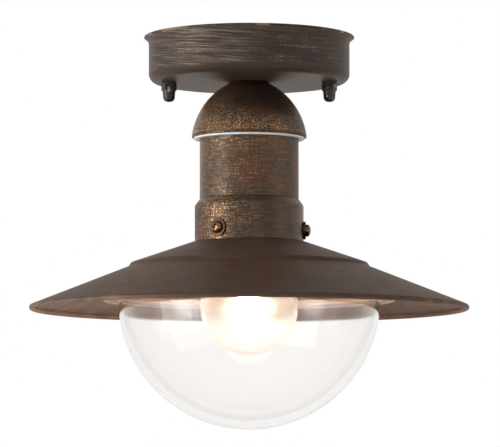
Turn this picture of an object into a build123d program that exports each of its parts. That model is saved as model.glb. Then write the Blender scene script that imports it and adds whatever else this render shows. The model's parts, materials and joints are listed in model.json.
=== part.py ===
from build123d import *
import os
from math import cos, hypot, pi, radians, sin, sqrt, tan

# Outdoor ceiling light: canopy, bell cap, stepped neck, conical shade, glass bowl and bulb.
# Millimetres. The ceiling is the plane z = 0, the lamp hangs below it on the Z axis,
# and the front is the -Y side. Azimuths run from the front towards +X.

# Fits
slip = 0.3            # room between pieces that slide past each other
thread_play = 0.05    # radial room between a screw and its nut
turn_play = 0.15      # radial room between a screw and its washer
hole_play = 0.4       # radial room between a fastener and a plain hole
seat_gap = 0.1        # room between a washer and the face that it rests on
skin_gap = 0.05       # room between curved faces that are welded or pressed together

# Canopy
canopy_radius = 62.0
canopy_depth = 28.0
canopy_wall = 1.2
canopy_corner = 5.0
lip_overhang = 3.0
lip_angle = 65.0
lip_bend = 5.0
lip_edge = 1.1

# Ceiling bracket and its studs
stud_inset = 12.5
stud_diameter = 4.0
stud_head_diameter = 7.0
stud_head_height = 2.3
stud_head_room = 1.2
stud_reach = 8.2
stud_margin = 6.5
bracket_end = 7.5
bracket_width = 22.0
bracket_sheet = 2.0
joggle_run = 4.0
bracket_bend = 2.5
bracket_corner = 4.0
ceiling_slot_length = 16.0
ceiling_slot_width = 5.0
ceiling_slot_margin = 3.0
small_nut_flats = 7.0
small_nut_height = 3.2
nut_chamfer = 30.0

# Cap nuts
cap_washer_diameter = 9.0
cap_washer_height = 0.7
cap_nut_flats = 8.2
cap_nut_base = 4.3
cap_nut_taper = 1.6
cap_nut_tip_diameter = 7.7
cap_nut_tip_draft = 4.0
cap_nut_length = 11.2
cap_nut_end_round = 2.9
cap_nut_bore_depth = 9.4

# Bell cap and its seal
bell_height = 34.4
bell_overhang = 4.9
bell_flat_radius = 11.2
bell_bulge = 42.6
bell_wall = 1.2
bell_lip_height = 1.4
bell_lip_round = 0.6
seal_wall = 0.8
seal_width = 3.6
seal_inner_width = 2.6
seal_below = 1.0
seal_above = 1.2
seal_round = 0.4

# Neck
neck_radius = 30.5
neck_wall = 1.2
neck_overlap = 10.4
neck_drop = 64.2
neck_corner = 2.5
skirt_step = 3.0
skirt_height = 22.1
shoulder_rise = 4.1
shoulder_crease = 0.4
shoulder_bend = 3.0

# Nipple through canopy, bell cap and neck
nipple_diameter = 10.0
nipple_bore = 7.0
nipple_above_nut = 2.3
nipple_in_holder = 6.8
nipple_nut_flats = 14.0
nipple_nut_height = 3.0
nipple_washer_diameter = 20.0
nipple_washer_height = 1.0
spacer_wall = 2.8

# Clamp screws that hold the shade's collar in the skirt
clamp_names = ("front", "right", "rear")
clamp_azimuth = -34.0
clamp_margin = 1.3
clamp_diameter = 4.0
clamp_length = 8.0
clamp_head_diameter = 7.5
clamp_head_height = 3.1
clamp_head_round = 1.7
clamp_washer_diameter = 11.0
clamp_washer_height = 1.2
clamp_nut_width = 10.0
clamp_nut_height = 9.0
clamp_nut_thickness = 2.4
clamp_boss_wall = 0.85
recess_length = 4.2
recess_width = 1.0
recess_depth = 1.5

# Shade
shade_radius = 135.0
shade_sheet = 1.0
collar_sheet = 1.0
collar_room = 4.6
collar_flange = 2.4
skirt_gap = 0.4
plateau_width = 3.3
plateau_bend = 3.0
upper_cone_angle = 18.9
upper_cone_run = 37.6
step_run = 1.2
step_drop = 2.31
step_bend = 1.8
foot_bend = 0.6
lower_cone_angle = 21.6
rim_bead = 1.6

# Glass bowl, its carrier, gasket and clips
glass_radius = 80.5
glass_wall = 2.0
glass_flange_width = 9.5
glass_flange_height = 3.2
glass_flange_round = 1.2
glass_flange_above = 1.5
gasket_height = 1.5
gasket_inset = 0.3
carrier_sheet = 1.0
carrier_lap = 13.0
carrier_bend = 1.2
carrier_margin = 17.5
carrier_room = 4.8
clip_count = 3
clip_azimuth = 60.0
clip_width = 12.0
clip_sheet = 1.0
clip_lap = 5.5
clip_foot = 7.0
clip_gap = 1.0
clip_bend = 0.4
clip_screw_diameter = 3.0
clip_screw_head_diameter = 5.5
clip_screw_head_height = 1.9
clip_screw_length = 6.0
clip_recess_length = 3.0
clip_recess_width = 0.8
clip_recess_depth = 0.7
clip_nut_flats = 5.5
clip_nut_height = 2.4

# Lampholder
holder_radius = 19.5
holder_wall = 2.3
holder_hub_radius = 7.5
holder_hub_height = 3.6
holder_cap_height = 26.8
holder_dome = 5.5
holder_corner = 3.0
holder_sleeve_height = 34.0
holder_spigot = 5.0
spigot_wall = 2.0
spigot_play = 0.1
insert_height = 8.0
insert_recess = 4.5
shell_wall = 0.5
shell_flange_height = 1.0
shell_length = 26.0
contact_radius = 3.5
contact_plate = 0.8
contact_rivet_radius = 1.2
contact_button_radius = 2.2
contact_button_height = 1.2
contact_room = 0.3
terminal_offset = 8.0
terminal_length = 6.0
terminal_depth = 7.0
terminal_height = 4.5
terminal_screw_diameter = 2.5
terminal_head_diameter = 4.0
terminal_head_height = 1.5

# Bulb
bulb_radius = 30.0
bulb_length = 106.8
bulb_wall = 0.8
bulb_neck_radius = 13.6
bulb_neck_sweep = 40.0
bulb_cap_length = 26.4
bulb_thread_diameter = 26.4
bulb_thread_pitch = 3.62
bulb_thread_count = 5
bulb_thread_round = 0.85
bulb_cap_wall = 0.6
bulb_cap_top = 4.0
bulb_tip_radius = 4.4
bulb_tip_height = 1.2
bulb_tip_round = 0.7
insulator_radius = 9.4
insulator_cone = 2.4
insulator_rim = 1.6
shoulder_glass = 0.8
spigot_glass = 8.0
stem_length = 27.0
stem_flare = 1.0
stem_taper = 5.0
stem_radius = 2.8
lead_radius = 0.4
lead_offset = 2.2
lead_length = 10.0
pinch_length = 7.0
pinch_width = 9.0
pinch_depth = 3.2
capsule_radius = 6.0
capsule_length = 22.0
capsule_wall = 0.9
capsule_end_round = 5.6
filament_radius = 0.9
filament_length = 13.0
filament_leg_radius = 0.25

# Terminal block, weld studs and wires in the canopy
block_depth = 16.0
block_height = 13.0
block_y = 34.0
block_poles = 3
block_pole_pitch = 10.0
block_corner = 1.0
barrel_diameter = 4.4
barrel_bore = 2.6
barrel_rise = 6.5
barrel_inset = 1.0
block_screw_diameter = 2.6
block_screw_height = 4.0
block_screw_inset = 3.8
block_screw_slot = 0.6
weld_stud_diameter = 3.0
weld_stud_base = 0.8
weld_stud_base_diameter = 5.0
weld_nut_flats = 5.5
weld_nut_height = 2.4
weld_stud_over_nut = 1.0
earth_x = 29.0
earth_y = -3.0
lug_radius = 3.6
lug_sheet = 0.8
lug_length = 9.0
lug_barrel_diameter = 3.4
lug_turn = 45.0
wire_diameter = 1.9
wire_bend_share = 0.45
wire_offset = 1.3
wire_tuck = 3.0

# Places of the studs and the bracket, from the canopy outwards in
stud_x = canopy_radius - stud_inset
bracket_joggle = stud_head_height + stud_head_room
bracket_half = stud_x + bracket_end
bracket_flat_half = stud_x - stud_margin - joggle_run
ceiling_slot_x = bracket_flat_half - ceiling_slot_margin - ceiling_slot_length / 2
block_length = block_poles * block_pole_pitch
block_screw_offset = block_depth / 2 - block_screw_inset

# Levels, all worked out from the sizes above
canopy_bottom = -canopy_depth
canopy_floor = canopy_bottom + canopy_wall
bell_bottom = canopy_bottom - bell_height
neck_top = bell_bottom + neck_overlap
neck_under_top = neck_top - neck_wall
neck_bottom = bell_bottom - neck_drop
clamp_level = neck_bottom + clamp_washer_diameter / 2 + clamp_margin
shade_top = neck_bottom - skirt_gap
collar_top = neck_bottom + skirt_height - collar_room
lower_nut_bottom = neck_under_top - nipple_washer_height - nipple_nut_height
holder_split = lower_nut_bottom - holder_cap_height
holder_mouth = holder_split - holder_sleeve_height
insert_top = holder_split + insert_recess
insert_bottom = insert_top - insert_height
contact_end = insert_bottom - contact_plate - contact_button_height
bulb_tip = contact_end - contact_room
bulb_end = bulb_tip - bulb_length
bulb_centre = bulb_end + bulb_radius
bulb_cap_end = bulb_tip - bulb_cap_length
stem_top = bulb_cap_end + spigot_glass / 2
stem_end = stem_top - stem_length
pinch_top = stem_end - lead_length
capsule_top = pinch_top - pinch_length
cap_nut_top = canopy_bottom - seat_gap - cap_washer_height
pole_level = canopy_floor + barrel_rise

# Radii that several pieces share
skirt_radius = neck_radius + skirt_step
skirt_inner = skirt_radius - neck_wall
collar_radius = skirt_inner - slip
collar_inner = collar_radius - collar_sheet
bell_radius = neck_radius + bell_overhang
stud_radius = stud_diameter / 2
clamp_radius = clamp_diameter / 2
nipple_radius = nipple_diameter / 2
nipple_hole = nipple_radius + hole_play / 2
glass_inner = glass_radius - glass_wall
flange_radius = glass_radius + glass_flange_width
shell_inner = bulb_thread_diameter / 2 + slip
shell_radius = shell_inner + shell_wall
sleeve_inner = shell_radius + turn_play
bulb_thread_root = bulb_thread_diameter / 2 - bulb_thread_round
bulb_cap_inner = bulb_thread_root - bulb_cap_wall
spigot_radius = bulb_cap_inner - slip
insert_radius = holder_radius - holder_wall - spigot_play - spigot_wall
carrier_radius = glass_radius + carrier_margin
wire_radius = wire_diameter / 2

# Upper face of the shade: plateau, upper cone, step and lower cone down to the rolled rim
plateau_radius = collar_radius + plateau_width
step_radius = plateau_radius + upper_cone_run
step_level = shade_top - upper_cone_run * tan(radians(upper_cone_angle))
foot_radius = step_radius + step_run
foot_level = step_level - step_drop
rim_radius = shade_radius - rim_bead + rim_bead * sin(radians(lower_cone_angle))
rim_level = foot_level - (rim_radius - foot_radius) * tan(radians(lower_cone_angle))

# The carrier's flange clears the underside of the lower cone, and the glass hangs from it
lower_cone_fall = (carrier_radius - foot_radius) * tan(radians(lower_cone_angle))
lower_cone_depth = shade_sheet / cos(radians(lower_cone_angle))
carrier_top = foot_level - lower_cone_fall - lower_cone_depth - carrier_room
carrier_under = carrier_top - carrier_sheet
flange_top = carrier_under - gasket_height
glass_centre = flange_top - glass_flange_above


def turned(left, right):
    """Sine of the turn from one direction to the next, positive when turning left."""
    return left[0] * right[1] - left[1] * right[0]


def directions(points):
    """Unit directions of the runs of an open path in the plane."""
    runs = [(b[0] - a[0], b[1] - a[1]) for a, b in zip(points, points[1:])]
    return [(x / hypot(x, y), y / hypot(x, y)) for x, y in runs]


def shifted(points, distance):
    """An open path moved to the right of its direction, with mitred corners."""
    ways = directions(points)
    moved = []
    for index, (x, y) in enumerate(points):
        before = ways[max(index - 1, 0)]
        after = ways[min(index, len(ways) - 1)]
        normal = (before[1] + after[1], -before[0] - after[0])
        share = distance / (1 + before[0] * after[0] + before[1] * after[1])
        moved.append((x + normal[0] * share, y + normal[1] * share))
    return moved


def sheet_face(points, bends, wall):
    """Section of a bent sheet: its left face follows the points, and it lies to their right."""
    ways = directions(points)
    inner_bends = []
    for bend, before, after in zip(bends, ways, ways[1:]):
        change = wall if turned(before, after) > 0 else -wall
        inner_bends.append(max(bend + change, 0))
    inner = shifted(points, wall)
    left = FilletPolyline(*points, radius=bends)
    right = FilletPolyline(*inner, radius=inner_bends)
    return make_face([left, Line(points[-1], inner[-1]), right, Line(inner[0], points[0])])


def spun(face):
    """A section in radius and height, turned about the Z axis."""
    return revolve(Plane.XZ * face, axis=Axis.Z)


def polygon(*points, rounds=0):
    """A closed section through the points, with one round for all corners or a list of them."""
    return make_face(FilletPolyline(*points, radius=rounds, close=True))


def span(inner, outer, low, high):
    """A rectangular section between two radii and two heights."""
    return Pos((inner + outer) / 2, (low + high) / 2) * Rectangle(outer - inner, high - low)


def ring(inner, outer, low, high):
    """A plain ring about the Z axis."""
    return spun(span(inner, outer, low, high))


def rod(radius, low, high, x=0, y=0):
    """A vertical cylinder between two heights."""
    return Pos(x, y, (low + high) / 2) * Cylinder(radius, high - low)


def block(x0, x1, y0, y1, z0, z1):
    """A box between six planes."""
    return Pos((x0 + x1) / 2, (y0 + y1) / 2, (z0 + z1) / 2) * Box(x1 - x0, y1 - y0, z1 - z0)


def hex_prism(flats, low, high, x=0, y=0):
    """A hexagonal prism between two heights, with two corners on the X axis."""
    outline = RegularPolygon(flats / 2, 6, major_radius=False)
    return Pos(x, y, low) * extrude(outline, high - low)


def hex_nut(flats, bore, low, high, x=0, y=0):
    """A hexagonal nut with its bore and its corners turned off on both faces."""
    reach = flats / sqrt(3)
    drop = (reach - flats / 2) * tan(radians(nut_chamfer))
    cone = polygon(
        (0, low),
        (flats / 2, low),
        (reach, low + drop),
        (reach, high - drop),
        (flats / 2, high),
        (0, high),
    )
    body = hex_prism(flats, low, high) & spun(cone)
    return Pos(x, y) * (body - rod(bore, low, high))


def radial(azimuth, radius, level):
    """A plane whose Z axis points straight out from the lamp's axis."""
    a = radians(azimuth)
    out = (sin(a), -cos(a), 0)
    return Plane((radius * out[0], radius * out[1], level), x_dir=(cos(a), sin(a), 0), z_dir=out)


def around(azimuth, count):
    """Azimuths of a ring of equal pieces."""
    return [azimuth + index * 360 / count for index in range(count)]


def clamp_azimuths():
    return around(clamp_azimuth, len(clamp_names))


def canopy():
    lip_rise = lip_overhang / tan(radians(lip_angle))
    trim = lip_edge * cos(radians(lip_angle)) / 2
    path = [
        (nipple_hole, canopy_bottom),
        (canopy_radius, canopy_bottom),
        (canopy_radius, -trim - lip_rise),
        (canopy_radius + lip_overhang, -trim),
    ]
    # The lower face of the sheet leads, so the path is followed from the lip inwards.
    face = sheet_face(path[::-1], [lip_bend, canopy_corner], canopy_wall)
    cup = spun(face) - rod(canopy_radius * 2, 0, canopy_depth)
    for x in (-stud_x, stud_x):
        cup -= rod(stud_radius + hole_play, canopy_bottom, canopy_floor, x)
    return cup


def ceiling_bracket():
    flat = bracket_flat_half
    path = [
        (-bracket_half, -bracket_joggle),
        (-flat - joggle_run, -bracket_joggle),
        (-flat, 0),
        (flat, 0),
        (flat + joggle_run, -bracket_joggle),
        (bracket_half, -bracket_joggle),
    ]
    face = sheet_face(path, [bracket_bend] * 4, bracket_sheet)
    strap = extrude(Plane.XZ * face, bracket_width / 2, both=True)
    outline = RectangleRounded(2 * bracket_half, bracket_width, bracket_corner)
    strap &= extrude(outline, canopy_depth, both=True)
    slot = extrude(SlotOverall(ceiling_slot_length, ceiling_slot_width), canopy_depth, both=True)
    for side in (-1, 1):
        strap -= Pos(side * ceiling_slot_x) * slot
        strap -= rod(stud_radius + thread_play, -canopy_depth, 0, side * stud_x)
    return strap


def bracket_studs():
    top = -bracket_joggle
    studs = []
    for x in (-stud_x, stud_x):
        stud = rod(stud_radius, cap_nut_top - stud_reach, top, x)
        studs.append(stud + rod(stud_head_diameter / 2, top, top + stud_head_height, x))
    return studs


def stud_lock_nuts():
    top = -bracket_joggle - bracket_sheet
    bore = stud_radius + thread_play
    low = top - small_nut_height
    return [hex_nut(small_nut_flats, bore, low, top, x) for x in (-stud_x, stud_x)]


def cap_washer(side):
    top = canopy_bottom - seat_gap
    washer = ring(stud_radius + turn_play, cap_washer_diameter / 2, top - cap_washer_height, top)
    return Pos(side * stud_x) * washer


def cap_nut(side):
    base_end = cap_nut_top - cap_nut_base
    tip_start = base_end - cap_nut_taper
    end = cap_nut_top - cap_nut_length
    tip = cap_nut_tip_diameter / 2
    tip_low = tip - (tip_start - end) * tan(radians(cap_nut_tip_draft))
    reach = cap_nut_flats / sqrt(3)
    turned_part = polygon(
        (0, cap_nut_top),
        (reach, cap_nut_top),
        (reach, base_end),
        (tip, tip_start),
        (tip_low, end),
        (0, end),
        rounds=[0, 0, 0, 0, cap_nut_end_round, 0],
    )
    core = hex_prism(cap_nut_flats, base_end, cap_nut_top) + rod(tip, end, base_end)
    flank = polygon((0, base_end), (cap_nut_flats / 2, base_end), (tip, tip_start), (0, tip_start))
    nut = (core + spun(flank)) & spun(turned_part)
    nut -= rod(stud_radius + thread_play, cap_nut_top - cap_nut_bore_depth, cap_nut_top)
    return Pos(side * stud_x) * nut


def arc_centre(start, end, radius):
    """Centre of the arc between two points that bulges away from the axis."""
    x, y = (start[0] + end[0]) / 2, (start[1] + end[1]) / 2
    run, rise = end[0] - start[0], end[1] - start[1]
    half = hypot(run, rise) / 2
    away = sqrt(radius**2 - half**2) / (2 * half)
    return x + rise * away, y - run * away


def arc_at(centre, radius, level):
    """The point where an arc crosses a level, on its outer side."""
    return centre[0] + sqrt(radius**2 - (level - centre[1]) ** 2), level


def bulge(centre, radius, start, end):
    """The stretch of an arc between two of its points, through its own middle."""
    level = (start[1] + end[1]) / 2
    return ThreePointArc(start, arc_at(centre, radius, level), end)


def bell_cap():
    top_edge = (bell_flat_radius, canopy_bottom)
    rim = (bell_radius, bell_bottom + bell_lip_height)
    centre = arc_centre(top_edge, rim, bell_bulge)
    inside = bell_bulge - bell_wall
    under = arc_at(centre, inside, canopy_bottom - bell_wall)
    ledge = arc_at(centre, inside, bell_bottom + bell_wall)
    corner = (bell_radius, bell_bottom + bell_lip_round)
    foot = (bell_radius - bell_lip_round, bell_bottom)
    lip = neck_radius + seal_wall
    outline = [
        Line((nipple_hole, canopy_bottom), top_edge),
        bulge(centre, bell_bulge, top_edge, rim),
        Line(rim, corner),
        RadiusArc(corner, foot, bell_lip_round),
        Line(foot, (lip, bell_bottom)),
        Line((lip, bell_bottom), (lip, bell_bottom + bell_wall)),
        Line((lip, bell_bottom + bell_wall), ledge),
        bulge(centre, inside, ledge, under),
        Line(under, (nipple_hole, canopy_bottom - bell_wall)),
        Line((nipple_hole, canopy_bottom - bell_wall), (nipple_hole, canopy_bottom)),
    ]
    return spun(make_face(outline))


def neck_seal():
    bore = neck_radius + skin_gap
    groove = neck_radius + seal_wall - skin_gap
    edge = neck_radius + seal_width
    inner_edge = neck_radius + seal_inner_width
    low, high = bell_bottom - seal_below, bell_bottom + bell_wall + seal_above
    section = polygon(
        (bore, low),
        (edge, low),
        (edge, bell_bottom),
        (groove, bell_bottom),
        (groove, bell_bottom + bell_wall),
        (inner_edge, bell_bottom + bell_wall),
        (inner_edge, high),
        (bore, high),
        rounds=[seal_round, seal_round, 0, 0, 0, 0, seal_round, seal_round],
    )
    return spun(section)


def neck():
    path = [
        (nipple_hole, neck_top),
        (neck_radius, neck_top),
        (neck_radius, neck_bottom + skirt_height + shoulder_rise),
        (skirt_radius, neck_bottom + skirt_height),
        (skirt_radius, neck_bottom),
    ]
    tube = spun(sheet_face(path, [neck_corner, shoulder_crease, shoulder_bend], neck_wall))
    for azimuth in clamp_azimuths():
        hole = Cylinder(clamp_radius + hole_play, skirt_step * 2)
        tube -= radial(azimuth, skirt_inner, clamp_level) * hole
    return tube


def nipple():
    top = canopy_floor + nipple_washer_height + nipple_nut_height + nipple_above_nut
    return ring(nipple_bore / 2, nipple_radius, lower_nut_bottom - nipple_in_holder, top)


def nipple_washer(top):
    return ring(nipple_hole, nipple_washer_diameter / 2, top - nipple_washer_height, top)


def nipple_nut(top):
    bore = nipple_radius + thread_play
    return hex_nut(nipple_nut_flats, bore, top - nipple_nut_height, top)


def spacer_sleeve():
    return ring(nipple_hole, nipple_hole + spacer_wall, neck_top, canopy_bottom - bell_wall)


def clamp_screw(azimuth):
    seat = skirt_radius + seat_gap + clamp_washer_height
    head = fillet(
        (Pos(0, 0, clamp_head_height / 2) * Cylinder(clamp_head_diameter / 2, clamp_head_height))
        .faces().sort_by(Axis.Z)[-1].edges(),
        clamp_head_round,
    )
    for angle in (0, 90):
        slot = Box(recess_length, recess_width, recess_depth)
        head -= Pos(0, 0, clamp_head_height - recess_depth / 2) * Rot(0, 0, angle + azimuth / 2) * slot
    screw = head + rod(clamp_radius, -clamp_length, 0)
    return radial(azimuth, seat, clamp_level) * screw


def clamp_washer(azimuth):
    low = seat_gap
    washer = ring(clamp_radius + turn_play, clamp_washer_diameter / 2, low, low + clamp_washer_height)
    return radial(azimuth, skirt_radius, clamp_level) * washer


def clamp_nuts():
    corner = collar_inner - slip
    face = sqrt(corner**2 - (clamp_nut_width / 2) ** 2)
    bore = clamp_radius + thread_play
    boss_end = skirt_inner - slip
    nuts = []
    for azimuth in clamp_azimuths():
        plate = Pos(0, 0, -clamp_nut_thickness / 2) * Box(
            clamp_nut_width, clamp_nut_height, clamp_nut_thickness
        )
        nut = plate + rod(bore + clamp_boss_wall, 0, boss_end - face)
        nut -= rod(bore, -clamp_nut_thickness, boss_end - face)
        nuts.append(radial(azimuth, face, clamp_level) * nut)
    return nuts


def shade():
    path = [
        (collar_radius + skin_gap, shade_top),
        (plateau_radius, shade_top),
        (step_radius, step_level),
        (foot_radius, foot_level),
        (rim_radius, rim_level),
    ]
    bead_level = rim_level - rim_bead * cos(radians(lower_cone_angle))
    bead = Pos(shade_radius - rim_bead, bead_level) * Circle(rim_bead)
    return spun(sheet_face(path, [plateau_bend, step_bend, foot_bend], shade_sheet) + bead)


def shade_collar():
    """Ring welded under the top of the shade, with a notch round each clamp screw."""
    seat_level = shade_top - shade_sheet
    path = [
        (collar_radius, collar_top),
        (collar_radius, seat_level),
        (collar_radius + collar_flange, seat_level),
    ]
    collar = spun(sheet_face(path, [0], collar_sheet))
    notch_radius = clamp_radius + thread_play + clamp_boss_wall + slip
    notch = Cylinder(notch_radius, skirt_step * 2)
    for azimuth in clamp_azimuths():
        seat = radial(azimuth, collar_radius, clamp_level)
        rise = collar_top - clamp_level + slip
        mouth = Pos(0, rise / 2) * Box(2 * notch_radius, rise, skirt_step * 2)
        collar -= seat * (notch + mouth)
    return collar


def glass_carrier():
    slope = tan(radians(upper_cone_angle))
    under = shade_sheet / cos(radians(upper_cone_angle)) + skin_gap
    drum = step_radius - shade_sheet
    top = step_level + shade_sheet * slope - under
    path = [
        (drum - carrier_lap, top + carrier_lap * slope),
        (drum, top),
        (drum, carrier_top),
        (carrier_radius, carrier_top),
    ]
    plate = spun(sheet_face(path, [carrier_bend, carrier_bend], carrier_sheet))
    for azimuth in around(clip_azimuth, clip_count):
        hole = Cylinder(clip_screw_diameter / 2 + thread_play, carrier_sheet * 4)
        plate -= clip_place(azimuth) * hole
    return plate


def glass_gasket():
    return ring(glass_inner, flange_radius + gasket_inset, flange_top, carrier_under)


def glass_bowl():
    bowl = (Circle(glass_radius) - Circle(glass_inner)) & span(0, glass_radius, -glass_radius, 0)
    wall = span(glass_inner, glass_radius, 0, glass_flange_above)
    low = glass_flange_above - glass_flange_height
    flange = polygon(
        (glass_inner, low),
        (flange_radius, low),
        (flange_radius, glass_flange_above),
        (glass_inner, glass_flange_above),
        rounds=[0, glass_flange_round, glass_flange_round, 0],
    )
    flange -= Circle(glass_inner)
    return Pos(0, 0, glass_centre) * spun(bowl + wall + flange)


def clip_place(azimuth):
    """Foot of a clip's screw, on the underside of the carrier, with Z up."""
    a = radians(azimuth)
    reach = flange_radius + clip_gap + clip_sheet + clip_foot / 2
    return Plane((reach * sin(a), -reach * cos(a), carrier_under), x_dir=(sin(a), -cos(a), 0))


def glass_clips():
    # The finger lies under the glass flange and the foot under the carrier.
    leg = -clip_foot / 2 - clip_sheet
    drop = -gasket_height - glass_flange_height
    path = [(leg - clip_gap - clip_lap, drop), (leg, drop), (leg, 0), (clip_foot / 2, 0)]
    face = sheet_face(path, [clip_bend, clip_bend + clip_sheet], clip_sheet)
    clip = extrude(Plane.XZ * face, clip_width / 2, both=True)
    clip -= rod(clip_screw_diameter / 2 + turn_play, -clip_sheet, 0)
    return [clip_place(azimuth) * clip for azimuth in around(clip_azimuth, clip_count)]


def clip_screws():
    radius = clip_screw_diameter / 2
    head_low = -clip_sheet - clip_screw_head_height
    head = rod(clip_screw_head_diameter / 2, head_low, -clip_sheet)
    head = fillet(head.faces().sort_by(Axis.Z)[0].edges(), clip_screw_head_height / 2)
    for angle in (0, 90):
        slot = Box(clip_recess_length, clip_recess_width, 2 * clip_recess_depth)
        head -= Pos(0, 0, head_low) * Rot(0, 0, angle) * slot
    screw = head + rod(radius, -clip_sheet, clip_screw_length - clip_sheet)
    return [clip_place(azimuth) * screw for azimuth in around(clip_azimuth, clip_count)]


def clip_nuts():
    bore = clip_screw_diameter / 2 + thread_play
    nut = hex_nut(clip_nut_flats, bore, carrier_sheet, carrier_sheet + clip_nut_height)
    return [clip_place(azimuth) * nut for azimuth in around(clip_azimuth, clip_count)]


def holder_cap():
    shoulder = lower_nut_bottom - holder_hub_height
    side = shoulder - holder_dome
    inner = holder_radius - holder_wall
    bore = nipple_radius + thread_play
    section = polygon(
        (bore, lower_nut_bottom),
        (holder_hub_radius, lower_nut_bottom),
        (holder_hub_radius, shoulder),
        (holder_radius, side),
        (holder_radius, holder_split),
        (inner, holder_split),
        (inner, side - holder_wall),
        (holder_hub_radius, shoulder - holder_wall),
        (bore, shoulder - holder_wall),
        rounds=[0, 0, holder_corner / 2, holder_corner, 0, 0, holder_corner / 2, holder_corner, 0],
    )
    return spun(section)


def holder_sleeve():
    inner = holder_radius - holder_wall - spigot_play
    ledge = insert_bottom - shell_flange_height
    section = polygon(
        (sleeve_inner, holder_mouth),
        (holder_radius, holder_mouth),
        (holder_radius, holder_split),
        (inner, holder_split),
        (inner, holder_split + holder_spigot),
        (insert_radius + skin_gap, holder_split + holder_spigot),
        (insert_radius + skin_gap, ledge),
        (sleeve_inner, ledge),
        rounds=[holder_wall / 4, holder_wall / 2, 0, 0, 0, 0, 0, 0],
    )
    return spun(section)


def holder_insert():
    disc = rod(insert_radius, insert_bottom, insert_top)
    return disc - rod(contact_rivet_radius, insert_bottom, insert_top)


def holder_shell():
    top = insert_bottom
    flange = span(shell_inner, insert_radius, top - shell_flange_height, top)
    return spun(flange + span(shell_inner, shell_radius, top - shell_length, top))


def holder_contact():
    plate = rod(contact_radius, insert_bottom - contact_plate, insert_bottom)
    button = rod(contact_button_radius, contact_end, insert_bottom - contact_plate)
    button = fillet(button.faces().sort_by(Axis.Z)[0].edges(), contact_plate / 2)
    return plate + button + rod(contact_rivet_radius - skin_gap, insert_bottom, insert_top)


def holder_terminals():
    terminals = []
    for side in (-1, 1):
        x = side * terminal_offset
        body = block(
            x - terminal_length / 2,
            x + terminal_length / 2,
            -terminal_depth / 2,
            terminal_depth / 2,
            insert_top,
            insert_top + terminal_height,
        )
        body -= rod(wire_radius + skin_gap, insert_top, insert_top + terminal_height, x)
        level = insert_top + terminal_height / 2
        hole = Cylinder(terminal_screw_diameter / 2 + thread_play, terminal_depth / 2)
        body -= Pos(x, -terminal_depth / 4, level) * Rot(90) * hole
        terminals.append(body)
    return terminals


def holder_terminal_screws():
    level = insert_top + terminal_height / 2
    reach = terminal_depth / 2 - wire_radius - skin_gap
    screws = []
    for side in (-1, 1):
        shank = rod(terminal_screw_diameter / 2, -reach, 0)
        head = rod(terminal_head_diameter / 2, 0, terminal_head_height)
        slot = Box(terminal_head_diameter, block_screw_slot, terminal_head_height)
        head -= Pos(0, 0, terminal_head_height) * slot
        place = Plane(
            (side * terminal_offset, -terminal_depth / 2, level), x_dir=(1, 0, 0), z_dir=(0, -1, 0)
        )
        screws.append(place * (shank + head))
    return screws


def bulb_tip_contact():
    low = bulb_tip - bulb_tip_height
    section = polygon(
        (0, low),
        (bulb_tip_radius, low),
        (bulb_tip_radius, bulb_tip),
        (0, bulb_tip),
        rounds=[0, 0, bulb_tip_round, 0],
    )
    return spun(section)


def bulb_insulator():
    top = bulb_tip - bulb_tip_height
    section = polygon(
        (0, top),
        (bulb_tip_radius, top),
        (insulator_radius, top - insulator_cone),
        (insulator_radius, top - insulator_cone - insulator_rim),
        (0, top - insulator_cone - insulator_rim),
    )
    return spun(section)


def bulb_cap():
    root, inner = bulb_thread_root, bulb_cap_inner
    mouth = bulb_tip - bulb_tip_height - insulator_cone
    shoulder = mouth - bulb_cap_top + insulator_rim
    opening = insulator_radius + skin_gap
    section = span(inner, root, bulb_cap_end, shoulder) + polygon(
        (opening, mouth),
        (opening + bulb_cap_wall, mouth),
        (root, shoulder),
        (inner, shoulder),
    )
    start = shoulder - bulb_thread_pitch / 2
    for index in range(bulb_thread_count):
        level = start - index * bulb_thread_pitch
        section += Pos(root, level) * Circle(bulb_thread_round)
    section += span(inner, bulb_neck_radius - bulb_cap_wall, bulb_cap_end, bulb_cap_end + bulb_cap_wall)
    return spun(section - span(0, inner, bulb_cap_end, shoulder))


def bulb_section(radius, neck, sweep, start):
    """Half of the bulb's outline: neck, flowing shoulder and globe, closed on the axis."""
    rise = sqrt((radius + sweep) ** 2 - (neck + sweep) ** 2)
    turn = bulb_centre + rise
    share = radius / (radius + sweep)
    meet = ((neck + sweep) * share, bulb_centre + rise * share)
    end = (0, bulb_centre - radius)
    outline = [
        Line((0, start), (neck, start)),
        Line((neck, start), (neck, turn)),
        RadiusArc((neck, turn), meet, sweep),
        ThreePointArc(meet, (radius, bulb_centre), end),
        Line(end, (0, start)),
    ]
    return make_face(outline)


def bulb_envelope():
    outer = bulb_section(bulb_radius, bulb_neck_radius, bulb_neck_sweep, bulb_cap_end)
    hollow = bulb_section(
        bulb_radius - bulb_wall,
        bulb_neck_radius - bulb_wall,
        bulb_neck_sweep + bulb_wall,
        bulb_cap_end - shoulder_glass,
    )
    low, bore = bulb_cap_end - shoulder_glass, spigot_radius - bulb_wall
    tube = span(bore, spigot_radius, low, bulb_cap_end + spigot_glass)
    return spun(outer - hollow + tube - span(0, bore, low, bulb_cap_end))


def bulb_stem():
    flare = spigot_radius - bulb_wall - skin_gap
    section = polygon(
        (0, stem_top),
        (flare, stem_top),
        (flare, stem_top - stem_flare),
        (stem_radius, stem_top - stem_flare - stem_taper),
        (stem_radius, stem_end),
        (0, stem_end),
        rounds=[0, 0, 0, stem_radius, stem_radius / 2, 0],
    )
    return spun(section)


def bulb_leads():
    places = (-lead_offset / 2, lead_offset / 2)
    return [rod(lead_radius, pinch_top, stem_end, x) for x in places]


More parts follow.
